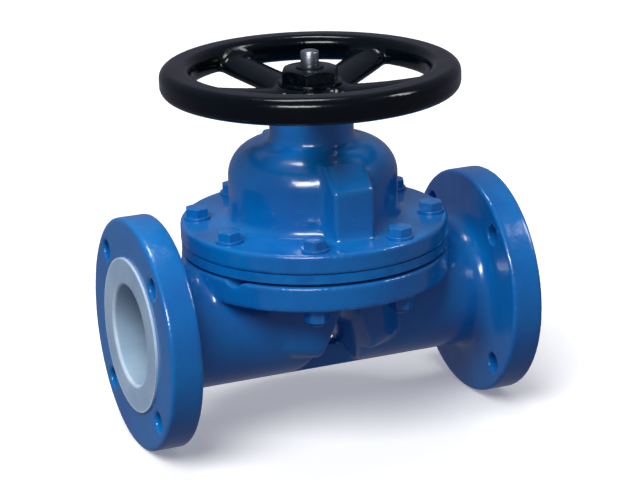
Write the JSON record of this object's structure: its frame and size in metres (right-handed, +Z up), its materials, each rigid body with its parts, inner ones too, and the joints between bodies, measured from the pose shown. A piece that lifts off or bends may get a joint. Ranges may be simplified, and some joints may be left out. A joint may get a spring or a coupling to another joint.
{
  "type": "diaphragm valve",
  "caption": "Flanged weir-type diaphragm valve with a lined body, a bell-shaped bonnet, a rising stem and a spoked handwheel that raises and lowers the diaphragm.",
  "frame": {"origin": "centre of the inlet's sealing face, on the flow axis", "axes": "+X along the flow to the outlet, +Z up the stem to the handwheel, +Y across the flow"},
  "size_m": [0.352, 0.262, 0.335],
  "materials": {
    "blue_enamel": "gloss",
    "blue_enamel_steel": "gloss",
    "black_enamel": "gloss",
    "black_enamel_steel": "gloss",
    "fluoropolymer": "smooth",
    "black_rubber": "matt",
    "bright_steel": "turned",
    "bronze": "turned",
    "bare_iron": "as cast"
  },
  "bodies": {
    "body": {"valve_body": "blue_enamel", "body_lining": "fluoropolymer", "diaphragm_facing": "fluoropolymer", "diaphragm_backing": "black_rubber", "bonnet": "blue_enamel", "bonnet_bush": "bronze", "lower_thrust_washer": "bright_steel", "upper_thrust_washer": "bright_steel", "sleeve_retainer": "bronze", "retainer_screw": "bright_steel", "sleeve_o_ring": "black_rubber", "bonnet_bolts": "blue_enamel_steel", "bonnet_screws": "blue_enamel_steel", "bonnet_washers": "blue_enamel_steel", "nut_washers": "blue_enamel_steel", "bonnet_nuts": "blue_enamel_steel"},
    "wheel": {"handwheel": "black_enamel", "stem_sleeve": "bronze", "handwheel_key": "bright_steel", "handwheel_washer": "black_enamel_steel", "handwheel_nut": "black_enamel_steel"},
    "stem": {"stem": "bright_steel", "compressor": "bare_iron", "compressor_pin": "bright_steel", "diaphragm_stud": "bright_steel"}
  },
  "joints": [
    {"name": "handwheel_turn", "type": "hinge", "parent": "body", "child": "wheel", "pos_m": [0.176, 0, 0.2], "axis": [0, 0, 1], "range_deg": [-1800, 2340]},
    {"name": "stem_lift", "type": "slide", "parent": "body", "child": "stem", "axis": [0, 0, 1], "range_m": [-0.02, 0.026], "deforming": ["diaphragm_facing", "diaphragm_backing"]}
  ],
  "couplings": [
    {"joint": "stem_lift", "follows": "handwheel_turn", "m_per_rad": 0.00063662}
  ]
}
